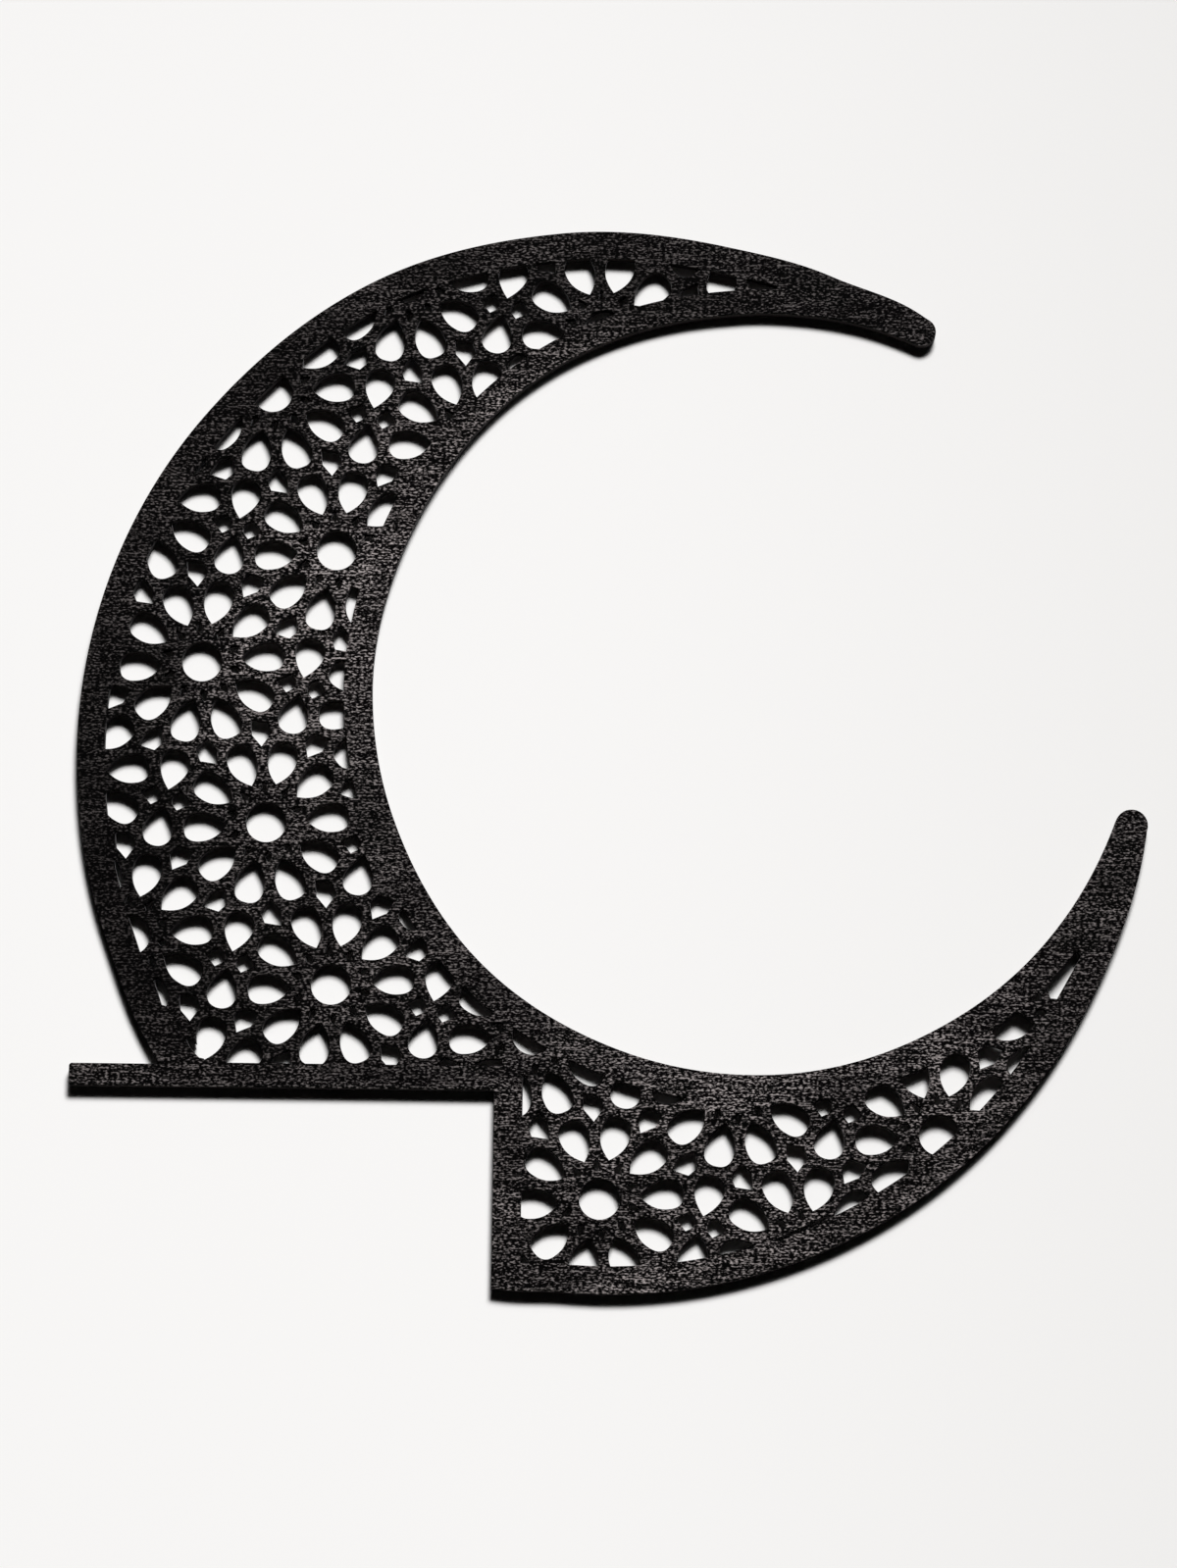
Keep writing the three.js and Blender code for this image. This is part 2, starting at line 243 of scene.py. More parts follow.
world = bpy.data.worlds.new("room")
scene.world = world
world.use_nodes = True
nodes, links = world.node_tree.nodes, world.node_tree.links
nodes.clear()
seen = nodes.new("ShaderNodeBackground")
seen.inputs["Color"].default_value = ROOM_SEEN
felt = nodes.new("ShaderNodeBackground")
felt.inputs["Color"].default_value = ROOM_FELT
rays = nodes.new("ShaderNodeLightPath")
choose = nodes.new("ShaderNodeMixShader")
out = nodes.new("ShaderNodeOutputWorld")
links.new(rays.outputs["Is Camera Ray"], choose.inputs["Fac"])
links.new(felt.outputs[0], choose.inputs[1])
links.new(seen.outputs[0], choose.inputs[2])
links.new(choose.outputs[0], out.inputs["Surface"])
print("room seen as", ROOM_SEEN[:3], "and felt as", ROOM_FELT[:3])

# %% [markdown]
# The outline
#
# Both edges of the crescent are circles that were pushed in and out a little by hand. So an edge is a
# circle plus a swell that changes smoothly with direction. The same rule, with a margin, gives the solid
# rims that frame the lattice.

# %% Crescent edges
OUTER_CENTRE = np.array([28.5, 86.6])
OUTER_RADIUS = 137.4
BELLY_WIDTH = 79.4
MOUTH_OVERSHOOT = 1.6
MOUTH_DIRECTION = 24.7
UPPER_TIP, LOWER_TIP = 3.7, 4.14
OUTER_SWELL = [(56, 2.5), (66, 0), (78, -1.1), (96, -0.1), (116, 1), (140, 0), (184, -0.6), (200, -0.3),
               (215, 1.9), (258, 2), (266, 0.3), (304, 0.3), (334, -0.5), (350, 0.3)]
INNER_SWELL = [(70, 1), (88, 0.3), (96, 0), (122, 0.4), (160, -1), (180, -0.4), (200, -0.3), (228, 0.7),
               (250, 0.3), (275, 0.3), (305, -0.3), (338, -1)]
INNER_RIM = 7.3
INNER_RIM_SWELL = [(95, -0.9), (138, -0.9), (152, 0), (350, 0)]
EDGE_STEP = 0.75


def point_at(centre, radius, direction):
    angle = math.radians(direction)
    return np.array([centre[0] + radius * math.cos(angle), centre[1] + radius * math.sin(angle)])


def swell_at(swells, direction):
    first = swells[0][0]
    cycle = swells + [(first + 360, swells[0][1])]
    angle = first + (direction - first) % 360
    after = next(i for i, (listed, _) in enumerate(cycle) if listed > angle)
    (a, low), (b, high) = cycle[after - 1], cycle[after]
    share = (angle - a) / (b - a)
    return low + (high - low) * share * share * (3 - 2 * share)


INNER_RADIUS = (2 * OUTER_RADIUS - BELLY_WIDTH + MOUTH_OVERSHOOT) / 2
INNER_CENTRE = point_at(OUTER_CENTRE, OUTER_RADIUS + MOUTH_OVERSHOOT - INNER_RADIUS, MOUTH_DIRECTION)


def outer_edge(direction, margin=0.0):
    return point_at(OUTER_CENTRE, OUTER_RADIUS + swell_at(OUTER_SWELL, direction) - margin, direction)


def inner_edge(direction, margin=0.0):
    return point_at(INNER_CENTRE, INNER_RADIUS + swell_at(INNER_SWELL, direction) + margin, direction)


def inner_rim_point(direction, share):
    """A point of the inner rim, a share of the way from the mouth's edge to the lattice."""
    return inner_edge(direction, share * (INNER_RIM + swell_at(INNER_RIM_SWELL, direction)))


def edge_run(edge, start, end, margin=0.0):
    count = max(2, round(abs(end - start) / EDGE_STEP))
    return [edge(start + (end - start) * i / count, margin) for i in range(count + 1)]


print("outer circle", OUTER_RADIUS, "mm, inner circle", round(INNER_RADIUS, 1), "mm")

# %% Crescent outline
WIDEST_SWING, SWING_STEP = 90.0, 0.1


def horn_end(tip_radius, side):
    """The directions of the two edges where a horn has narrowed to its round tip."""
    swing = WIDEST_SWING
    while swing > 0:
        outward = MOUTH_DIRECTION + side * swing
        reach = outer_edge(outward) - INNER_CENTRE
        inward = math.degrees(math.atan2(reach[1], reach[0])) % 360
        if np.hypot(*reach) - INNER_RADIUS - swell_at(INNER_SWELL, inward) <= 2 * tip_radius:
            break
        swing -= SWING_STEP
    return outward, inward


def round_cap(start, end, steps=14):
    """The points between the two ends of a half circle that turns clockwise."""
    centre, arm = (start + end) / 2, (start - end) / 2
    points = []
    for i in range(1, steps):
        turn = -math.pi * i / steps
        points.append(centre + np.array([arm[0] * math.cos(turn) - arm[1] * math.sin(turn),
                                         arm[0] * math.sin(turn) + arm[1] * math.cos(turn)]))
    return points


def crescent_outline():
    upper, lower = horn_end(UPPER_TIP, 1), horn_end(LOWER_TIP, -1)
    outer = edge_run(outer_edge, lower[0], upper[0] - 360)
    inner = edge_run(inner_edge, upper[1], lower[1])
    return outer + round_cap(outer[-1], inner[0]) + inner + round_cap(inner[-1], outer[0])


crescent = crescent_outline()
print("crescent outline of", len(crescent), "points")

# %% [markdown]
# The wall
#
# The moon is stuck to a plain white wall, and the black band beside every edge is its shadow there. The
# bands are longest in the lower horn, where the thin sheet has warped away from the wall. The sheet stays
# flat here, and the wall is hollowed by as much instead, only where the horn hides it.

# %% Wall
WALL_HALF, WALL_GAP = 1600.0, 0.05
HOLLOW_DEPTH, HOLLOW_START, HOLLOW_REACH = 1.4, 50.0, 90.0
HOLLOW_TOP = (40.0, 52.0)
HOLLOW_SIDE = (1.0, 5.0)
HOLLOW_RIGHT, HOLLOW_LOW, HOLLOW_HIGH, HOLLOW_GRID = 172, -52, 54, 1.5


def soft_step(value, low, high):
    share = min(1.0, max(0.0, (value - low) / (high - low)))
    return share * share * (3 - 2 * share)


def hollow(x, z):
    """How deep the wall is hollowed at a place behind the lower horn, in mm."""
    from_outer = OUTER_RADIUS - math.dist((x, z), OUTER_CENTRE)
    from_inner = math.dist((x, z), INNER_CENTRE) - INNER_RADIUS
    hidden = soft_step(from_outer, *HOLLOW_SIDE) * soft_step(from_inner, *HOLLOW_SIDE)
    reach = max(0.0, x - HOLLOW_START) / HOLLOW_REACH
    return HOLLOW_DEPTH * reach * reach * hidden * (1 - soft_step(z, *HOLLOW_TOP))


columns = [-WALL_HALF, *np.arange(HOLLOW_START, HOLLOW_RIGHT, HOLLOW_GRID), WALL_HALF]
rows = [-WALL_HALF, *np.arange(HOLLOW_LOW, HOLLOW_HIGH, HOLLOW_GRID), WALL_HALF]
points = [(x * MM, (WALL_GAP + hollow(x, z)) * MM, z * MM) for z in rows for x in columns]
wide = len(columns)
faces = [(wide * j + i, wide * j + i + 1, wide * (j + 1) + i + 1, wide * (j + 1) + i)
         for j in range(len(rows) - 1) for i in range(wide - 1)]
wall_mesh = bpy.data.meshes.new("wall")
wall_mesh.from_pydata(points, [], faces)
wall_mesh.polygons.foreach_set("use_smooth", [True] * len(faces))
wall = bpy.data.objects.new("wall", wall_mesh)
scene.collection.objects.link(wall)
wall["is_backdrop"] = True
print("wall", 2 * WALL_HALF * MM, "m wide, hollowed by", round(max(y for _, y, _ in points) / MM, 2), "mm")

# %% [markdown]
# The wall's paint
#
# Matt white paint, with a painted shade that makes it darker towards the right, for a wall less lit
# there. Seen from behind, the wall would hide the moon, so a ray that meets its back goes through. So
# does the straight light of the lamp behind it, but only on its way to what the camera sees, so none of
# it creeps round to the front.

# %% Wall paint
WALL_LIGHT, WALL_PAINTED_SHADE, WALL_FADE = (0.94, 0.93, 0.92, 1), (0.872, 0.862, 0.85, 1), (-0.02, 0.28)
PAST_FIRST_BOUNCE = 1.5

wall_paint = bpy.data.materials.new("wall_paint")
wall_paint.use_nodes = True
nodes, links = wall_paint.node_tree.nodes, wall_paint.node_tree.links
nodes.clear()
surface = nodes.new("ShaderNodeBsdfDiffuse")
place = nodes.new("ShaderNodeSeparateXYZ")
links.new(nodes.new("ShaderNodeTexCoord").outputs["Object"], place.inputs[0])
# Painted shade: the wall's colour darkens towards the right for a wall less lit there.
painted_shade = ramp(nodes, links, place.outputs["X"], *WALL_FADE)
links.new(mix_colour(nodes, links, painted_shade, WALL_LIGHT, WALL_PAINTED_SHADE), surface.inputs["Color"])
nothing = nodes.new("ShaderNodeBsdfTransparent")
rays = nodes.new("ShaderNodeLightPath")
side = nodes.new("ShaderNodeNewGeometry")
first_bounce = combine(nodes, links, "LESS_THAN", rays.outputs["Ray Depth"], PAST_FIRST_BOUNCE)
passes = nodes.new("ShaderNodeMath")
passes.operation = "MULTIPLY_ADD"
passes.use_clamp = True
choose = nodes.new("ShaderNodeMixShader")
out = nodes.new("ShaderNodeOutputMaterial")
links.new(rays.outputs["Is Shadow Ray"], passes.inputs[0])
links.new(first_bounce, passes.inputs[1])
links.new(side.outputs["Backfacing"], passes.inputs[2])
links.new(passes.outputs[0], choose.inputs["Fac"])
links.new(surface.outputs[0], choose.inputs[1])
links.new(nothing.outputs[0], choose.inputs[2])
links.new(choose.outputs[0], out.inputs["Surface"])
wall_mesh.materials.append(wall_paint)
print("wall paint with", len(nodes), "nodes")

# %% [markdown]
# The ledge and the notch
#
# A straight ledge lies on top of the door frame and a notch below it clears the frame's side. The ledge
# is a bar with slightly rounded corners at its free end, and the notch is everything to the left of one
# line and below another.

# %% Ledge and notch
LEDGE_LENGTH, LEDGE_HEIGHT, LEDGE_CORNER = 108.1, 5.7, 0.8
OUTER_RIM, LEDGE_MARGIN, NOTCH_MARGIN = 7.1, 6.2, 7.2
QUARTER_TURN = range(0, 91, 15)


def ledge_outline():
    left = LEDGE_CORNER - LEDGE_LENGTH
    top = LEDGE_HEIGHT - LEDGE_CORNER
    corner = [point_at((left, top), LEDGE_CORNER, 90 + turn) for turn in QUARTER_TURN]
    corner += [point_at((left, LEDGE_CORNER), LEDGE_CORNER, 180 + turn) for turn in QUARTER_TURN]
    return [np.array([NOTCH_MARGIN, 0.0]), np.array([NOTCH_MARGIN, LEDGE_HEIGHT])] + corner


def lower_left(right, top, far=400.0):
    return [np.array(p) for p in ((right, top), (-far, top), (-far, -far), (right, -far))]


ledge = ledge_outline()
print("ledge", LEDGE_LENGTH, "by", LEDGE_HEIGHT, "mm")

# %% [markdown]
# The openings of the lattice
#
# The pattern is a traditional one. Ten petals stand round each hub, with a drop between every two, and
# the rosettes stand on rhombuses with a corner of 72 degrees. Arrows, kites and a small cross of petals
# fill what is left. Each opening is drawn once, along X from its own hub or middle, and is mirrored, so
# only half of it has to be described.

# %% Openings
SPACING = 45.0
LATTICE_TURN = -13.25
FIRST_ROSETTE = np.array([-59.3, 68.0])
WEB = 2.4
PITCH = 36.0
APOTHEM = SPACING / 2
SHORT_HALF = SPACING * math.sin(math.radians(PITCH))
LONG_HALF = SPACING * math.cos(math.radians(PITCH))
HUB_HOLE, HUB_RING, HUB_STEPS = 5.2, 2.1, 48
DOT_LENGTH, DOT_WIDTH, PETAL_TIP = 3.1, 2.1, 10.05


def mirrored(half):
    lower = [(x, -y) for x, y in reversed(half) if y > 0]
    return [np.array(p, float) for p in list(half) + lower]


def petal(start, end, half_width, belly, flank_power, end_power, steps=9):
    """A pointed tip, flanks that open out to the belly, and a blunt end."""
    length = end - start
    half = [(start, 0.0)]
    for i in range(1, steps + 1):
        along = i / steps
        half.append((start + length * belly * along, half_width * (1 - (1 - along) ** flank_power)))
    for i in range(1, steps + 1):
        turn = math.radians(90 * i / steps)
        along = belly + (1 - belly) * math.sin(turn) ** (2 / end_power)
        across = math.cos(turn) ** (2 / end_power) if i < steps else 0.0
        half.append((start + length * along, half_width * across))
    return mirrored(half)


print("apothem", APOTHEM, "mm, web", WEB, "mm")

# %% [markdown]
# How far each opening reaches
#
# The openings keep a web between them. So each length below is a share of the apothem, which is half the
# way to the next hub, less a share of the web's width.

# %% Opening shapes
PETAL_SHARE, PETAL_GAP = 0.78, 0.8
PETAL_FORM = {"belly": 0.63, "flank_power": 2.3, "end_power": 2.45}
CROSS_START, CROSS_REACH, CROSS_SHARE = 0.89, 0.62, 0.225
CROSS_FORM = {"belly": 0.65, "flank_power": 1.9, "end_power": 2.1}
WEDGE_GAP, ARROW_START, ARROW_REACH, ARROW_SHARE, ARROW_GAP = 1.2, 0.42, 0.5, 0.12, 0.55
KITE_SHARE, KITE_GAP = 0.19, 0.7
KITE_SHOULDER, KITE_EDGE, KITE_END = 1.44, 0.76, 0.6

half_angle = math.radians(PITCH / 2)
petal_half = PETAL_SHARE * APOTHEM * math.tan(half_angle) - PETAL_GAP * WEB
wedge_tip = APOTHEM - WEDGE_GAP * WEB
kite_half = KITE_SHARE * APOTHEM - KITE_GAP * WEB
cross_half = CROSS_SHARE * APOTHEM - WEB / 2
dot_start = HUB_HOLE + HUB_RING
HUB = [point_at((0, 0), HUB_HOLE, 360 / HUB_STEPS * i) for i in range(HUB_STEPS)]
PETAL = petal(PETAL_TIP, APOTHEM - WEB / 2, petal_half, **PETAL_FORM)
CROSS_PETAL = petal(CROSS_START * WEB, CROSS_REACH * APOTHEM - WEB / 2, cross_half, **CROSS_FORM)
DOT = mirrored([(dot_start, 0), (dot_start + DOT_LENGTH / 3, DOT_WIDTH / 2),
                (dot_start + DOT_LENGTH, DOT_WIDTH / 8)])
ARROW = mirrored([(petal_half + ARROW_START * WEB, 0),
                  (wedge_tip * math.sin(half_angle), APOTHEM - wedge_tip * math.cos(half_angle)),
                  (ARROW_REACH * APOTHEM - ARROW_GAP * WEB, ARROW_SHARE * APOTHEM - WEB / 2)])
KITE = mirrored([(wedge_tip, 0), (SHORT_HALF - KITE_SHOULDER * WEB, kite_half),
                 (SHORT_HALF - KITE_EDGE * WEB, kite_half / 2), (SHORT_HALF - KITE_END * WEB, 0)])
print("petal", round(2 * petal_half, 1), "by", round(APOTHEM - WEB / 2 - PETAL_TIP, 1), "mm")

# %% [markdown]
# One rosette, repeated by Geometry Nodes
#
# The openings that belong to one rosette are laid out once as flat faces. Geometry Nodes then put a
# copy of them on every point of the lattice, which is what a pattern tool in a drawing program does. The
# copies are made real and turned into a plain mesh, because the next step reads their outlines.

# %% Rosette


def turned(points, direction, place=(0.0, 0.0)):
    angle = math.radians(direction)
    turn = np.array([[math.cos(angle), -math.sin(angle)], [math.sin(angle), math.cos(angle)]])
    return [turn @ p + np.array(place) for p in points]


def rosette_openings():
    openings = [HUB]
    openings += [turned(DOT, PITCH * i) for i in range(10)]
    openings += [turned(PETAL, PITCH * (i + 0.5)) for i in range(10)]
    openings += [turned(KITE, turn) for turn in (0, 180)]
    openings += [turned(CROSS_PETAL, turn, (SHORT_HALF, 0)) for turn in (90, -90)]
    for shared in (1.5 * PITCH, -1.5 * PITCH):
        place = point_at((0, 0), APOTHEM, shared)
        openings += [turned(ARROW, shared + 90, place), turned(ARROW, shared - 90, place)]
    return openings


def face_mesh(name, outlines):
    mesh = bpy.data.meshes.new(name)
    points = [(x * MM, 0, z * MM) for outline in outlines for x, z in outline]
    starts = np.cumsum([0] + [len(outline) for outline in outlines])
    mesh.from_pydata(points, [], [list(range(a, b)) for a, b in zip(starts, starts[1:])])
    return mesh


rosette = bpy.data.objects.new("rosette", face_mesh("rosette", rosette_openings()))
scene.collection.objects.link(rosette)
print("one rosette with", len(rosette.data.polygons), "openings")

# %% Lattice points


def lattice_points():
    reach = OUTER_RADIUS + SPACING
    steps = math.ceil(2 * reach / SHORT_HALF)
    points = []
    for row in range(-steps, steps + 1):
        for column in range(-steps, steps + 1):
            knot = np.array([column * SHORT_HALF, row * LONG_HALF])
            place = turned([knot], LATTICE_TURN, FIRST_ROSETTE)[0]
            if (row + column) % 2 == 0 and np.hypot(*(place - OUTER_CENTRE)) < reach:
                points.append(place)
    return points


places = bpy.data.meshes.new("lattice")
places.from_pydata([(x * MM, 0, z * MM) for x, z in lattice_points()], [], [])
lattice = bpy.data.objects.new("lattice", places)
scene.collection.objects.link(lattice)
print(len(places.vertices), "lattice points")

# %% Pattern tree


def pattern_tree():
    tree = bpy.data.node_groups.new("Rosette pattern", "GeometryNodeTree")
    tree.is_modifier = True
    tree.interface.new_socket("Points", in_out="INPUT", socket_type="NodeSocketGeometry")
    tree.interface.new_socket("Rosette", in_out="INPUT", socket_type="NodeSocketObject")
    tree.interface.new_socket("Turn", in_out="INPUT", socket_type="NodeSocketFloat")
    tree.interface.new_socket("Material", in_out="INPUT", socket_type="NodeSocketMaterial")
    tree.interface.new_socket("Openings", in_out="OUTPUT", socket_type="NodeSocketGeometry")
    nodes, links = tree.nodes, tree.links
    given = nodes.new("NodeGroupInput")
    info = nodes.new("GeometryNodeObjectInfo")
    to_points = nodes.new("GeometryNodeMeshToPoints")
    copies = nodes.new("GeometryNodeInstanceOnPoints")
    rotation = nodes.new("ShaderNodeCombineXYZ")
    real = nodes.new("GeometryNodeRealizeInstances")
    finish = nodes.new("GeometryNodeSetMaterial")
    made = nodes.new("NodeGroupOutput")
    links.new(given.outputs["Points"], to_points.inputs["Mesh"])
    links.new(given.outputs["Rosette"], info.inputs["Object"])
    links.new(given.outputs["Turn"], rotation.inputs["Y"])
    links.new(to_points.outputs["Points"], copies.inputs["Points"])
    links.new(info.outputs["Geometry"], copies.inputs["Instance"])
    links.new(rotation.outputs["Vector"], copies.inputs["Rotation"])
    links.new(copies.outputs["Instances"], real.inputs["Geometry"])
    links.new(real.outputs["Geometry"], finish.inputs["Geometry"])
    links.new(given.outputs["Material"], finish.inputs["Material"])
    links.new(finish.outputs["Geometry"], made.inputs["Openings"])
    return tree


tree = pattern_tree()
print("pattern tree with", len(tree.nodes), "nodes")

# %% Rosette pattern


def set_input(modifier, name, value):
    for item in modifier.node_group.interface.items_tree:
        if item.in_out == "INPUT" and item.name == name:
            modifier[item.identifier] = value


painted = bpy.data.materials.new("black_paint")
repeat = lattice.modifiers.new("pattern", "NODES")
repeat.node_group = tree
set_input(repeat, "Rosette", rosette)
set_input(repeat, "Turn", -math.radians(LATTICE_TURN))
set_input(repeat, "Material", painted)
bpy.context.view_layer.update()
evaluated = lattice.evaluated_get(bpy.context.evaluated_depsgraph_get())
pattern = bpy.data.meshes.new_from_object(evaluated)
every_opening = [np.array([(pattern.vertices[v].co.x / MM, pattern.vertices[v].co.z / MM)
                           for v in face.vertices]) for face in pattern.polygons]
for helper in (rosette, lattice):
    bpy.data.objects.remove(helper)
print(len(every_opening), "openings in the whole pattern")

# %% [markdown]
# Cutting the sheet in two dimensions
#
# A laser follows lines on a flat sheet, so the whole shape is settled flat before it gets a thickness.
# One constrained triangulation holds every outline at once and says for each triangle which outlines it
# lies in. The sheet is then every triangle that is inside the crescent or the ledge, and outside the
# notch and the openings. It is quicker and cleaner than hundreds of solid booleans.

# %% Triangulation
KEEP_INSIDE, CUT_TOLERANCE = 1, 1e-5


def signed_area(points):
    p = np.asarray(points)
    q = np.roll(p, -1, axis=0)
    return 0.5 * float(np.sum(p[:, 0] * q[:, 1] - p[:, 1] * q[:, 0]))


def counter_clockwise(points):
    return list(points) if signed_area(points) > 0 else list(reversed(points))


def triangulate(outlines):
    """Triangles of all outlines together, and the outlines that each one lies in."""
    points, faces = [], []
    for outline in outlines:
        faces.append(list(range(len(points), len(points) + len(outline))))
        points += [Vector((float(p[0]), float(p[1]))) for p in counter_clockwise(outline)]
    where, _, triangles, origin, _, owners = delaunay_2d_cdt(
        points, [], faces, KEEP_INSIDE, CUT_TOLERANCE)
    return np.array([tuple(p) for p in where]), triangles, [set(o) for o in owners], origin


print("the crescent's outline holds", round(abs(signed_area(crescent))), "square mm")

# %% [markdown]
# What is cut and what isn't
#
# The pattern is cut only inside the solid rims. Scraps of an opening that would be smaller than a few
# square millimetres are left out, and so are the openings listed by place, which the real sheet lacks. A
# few odd ones beside the rims were cut another way, and those are drawn one by one.

# %% Flat cut
SMALLEST_OPENING, UNCUT_REACH, FIELD_MARGIN = 3.4, 1.0, 5
UNCUT = [(-50.7, 66.1), (-17.2, 170.2), (-36.8, 132.1), (18.4, -25.2), (42.1, -42.7), (120.3, 14.6),
         (-97.2, 114.6), (60.9, -2.1), (88.8, 0), (-23.6, 158.3), (-27.2, 53.7), (-33.6, 68.4),
         (148.3, 36.9), (-85.9, 24.4), (-81.1, 13.2)]
DRAWN = [[(147.6, 37.8), (144, 33.7), (139.1, 27.6), (142.1, 24.9), (148.3, 36.1)],
         [(71.6, -36.5), (72.4, -37.2), (86.5, -30.4), (84, -30.2), (81, -32.2)],
         [(-85, 20.8), (-83.7, 20.4), (-83, 22), (-83.4, 24.3), (-84.5, 26.4), (-86.3, 27.8),
          (-87.2, 27.3)],
         [(-78.5, 12.1), (-77.6, 10.3), (-76.5, 8.9), (-75, 7.4), (-73.8, 7.2), (-74, 10.4),
          (-76.8, 11.2), (-77.3, 12.5), (-78.2, 12.8)]]
CRESCENT, LEDGE, NOTCH, OUTER_FIELD, INNER_FIELD, NOTCH_FIELD, FIRST = range(7)


def near_lattice_field(opening):
    return np.hypot(*(opening.mean(0) - OUTER_CENTRE)) < OUTER_RADIUS + FIELD_MARGIN


openings = [o for o in every_opening if near_lattice_field(o)]
full_outer = edge_run(outer_edge, 0, 360, OUTER_RIM)[1:]
full_inner = edge_run(inner_rim_point, 0, 360, 1)[1:]
shapes = [crescent, ledge, lower_left(0, 0), full_outer, full_inner, lower_left(NOTCH_MARGIN, LEDGE_MARGIN)]
flat, triangles, owners, _ = triangulate(shapes + openings + DRAWN)
drawn_from = FIRST + len(openings)
print(len(openings), "openings near the moon,", len(triangles), "flat triangles")

# %% Choice of openings


def in_field(inside):
    return OUTER_FIELD in inside and INNER_FIELD not in inside and NOTCH_FIELD not in inside


pieces = {}
for triangle, inside in zip(triangles, owners):
    for owner in inside:
        if FIRST <= owner < drawn_from and in_field(inside):
            pieces.setdefault(owner, []).append(triangle)


def is_cut(parts):
    area = sum(abs(signed_area(flat[list(t)])) for t in parts)
    corners = np.concatenate([flat[list(t)] for t in parts])
    centre = (corners.min(0) + corners.max(0)) / 2
    left_alone = any(np.hypot(*(centre - np.array(spot))) < UNCUT_REACH for spot in UNCUT)
    return area > SMALLEST_OPENING and not left_alone


cut = {owner for owner, parts in pieces.items() if is_cut(parts)}


def is_wood(inside):
    blank = (CRESCENT in inside and NOTCH not in inside) or LEDGE in inside
    burnt = (in_field(inside) and inside & cut) or any(owner >= drawn_from for owner in inside)
    return blank and not burnt


wood = [tuple(t) for t, inside in zip(triangles, owners) if is_wood(inside)]
print(len(cut), "openings cut,", len(wood), "flat triangles of wood")

# %% [markdown]
# Loops
#
# The edges that belong to only one triangle are the cut lines. Joined end to end they make closed loops:
# one round the outside and one round each opening, with the wood always on the left.

# %% Loops


def cut_loops(wood):
    directed = {(t[i], t[(i + 1) % 3]) for t in wood for i in range(3)}
    following = {}
    for a, b in directed:
        if (b, a) not in directed:
            following.setdefault(a, []).append(b)
    loops = []
    while following:
        start = next(iter(following))
        loop, here = [], start
        while True:
            loop.append(here)
            ahead = following[here].pop()
            if not following[here]:
                del following[here]
            here = ahead
            if here == start:
                break
        loops.append(flat[loop])
    return loops


def tidy(loop, least=0.02):
    """Drops points that lie almost on the one before."""
    keep = np.hypot(*(loop - np.roll(loop, 1, axis=0)).T) > least
    return loop[keep]


loops = [tidy(loop) for loop in cut_loops(wood)]
loops = [loop for loop in loops if len(loop) > 2]
loops.sort(key=signed_area, reverse=True)
print(len(loops), "loops, sheet area", round(sum(signed_area(loop) for loop in loops)), "square mm")

# %% [markdown]
# The sheet
#
# The saw-sharp edge of real plywood is never quite sharp: paint and handling round it by a tenth of a
# millimetre, and that hair of a bevel catches the light. So each loop becomes four rings: one on each
# face, drawn in by the bevel, and two on the cut itself. The faces are triangulated once more from the
# rings, and the cut walls get a material of their own.

# %% Sheet mesh
THICKNESS, STAND_OFF, BEVEL = 3.0, 1.0, 0.12
FRONT = -(STAND_OFF + THICKNESS)
LEAST_COSINE, LONGEST_MITRE, SHARP_ANGLE = 0.35, 2.2, 32


def drawn_in(loop, by):
    """The loop moved towards the wood on its left."""
    ahead = np.roll(loop, -1, axis=0) - loop
    ahead /= np.hypot(*ahead.T)[:, None]
    left = np.stack([-ahead[:, 1], ahead[:, 0]], axis=1)
    both = left + np.roll(left, 1, axis=0)
    both /= np.maximum(np.hypot(*both.T), 1e-6)[:, None]
    stretch = np.minimum(1 / np.maximum((both * left).sum(1), LEAST_COSINE), LONGEST_MITRE)
    return loop + both * (by * stretch)[:, None]


def sheet_mesh(loops):
    points, faces, walls = [], [], []
    rings = [(FRONT, True), (FRONT + BEVEL, False), (-STAND_OFF - BEVEL, False), (-STAND_OFF, True)]
    inner = [drawn_in(loop, BEVEL) for loop in loops]
    first_of = []
    for loop, small in zip(loops, inner):
        first_of.append(len(points))
        for depth, use_small in rings:
            points += [(x * MM, depth * MM, z * MM) for x, z in (small if use_small else loop)]
        count = len(loop)
        for ring in range(3):
            base = first_of[-1] + ring * count
            for i in range(count):
                j = (i + 1) % count
                faces.append((base + i, base + count + i, base + count + j, base + j))
                walls.append(ring == 1)
    _, cap, inside, origin = triangulate(inner)
    owner_of = np.repeat(np.arange(len(inner)), [len(loop) for loop in inner])
    starts = np.cumsum([0] + [len(loop) for loop in inner])
    flipped = [signed_area(loop) < 0 for loop in inner]

    def vertex(index, back):
        source = origin[index][0]
        loop = owner_of[source]
        count = len(inner[loop])
        step = source - starts[loop]
        step = count - 1 - step if flipped[loop] else step
        return first_of[loop] + (3 * count if back else 0) + step

    for triangle, held in zip(cap, inside):
        if held == {0}:
            faces.append(tuple(vertex(i, False) for i in triangle))
            faces.append(tuple(vertex(i, True) for i in reversed(triangle)))
            walls += [False, False]
    mesh = bpy.data.meshes.new("moon_sheet")
    mesh.from_pydata(points, [], faces)
    mesh.polygons.foreach_set("material_index", [1 if wall else 0 for wall in walls])
    mesh.polygons.foreach_set("use_smooth", [True] * len(faces))
    mesh.update()
    mesh.set_sharp_from_angle(angle=math.radians(SHARP_ANGLE))
    return mesh


sheet_data = sheet_mesh(loops)
sheet = bpy.data.objects.new("moon_sheet", sheet_data)
scene.collection.objects.link(sheet)
print(len(sheet_data.polygons), "faces in the sheet")
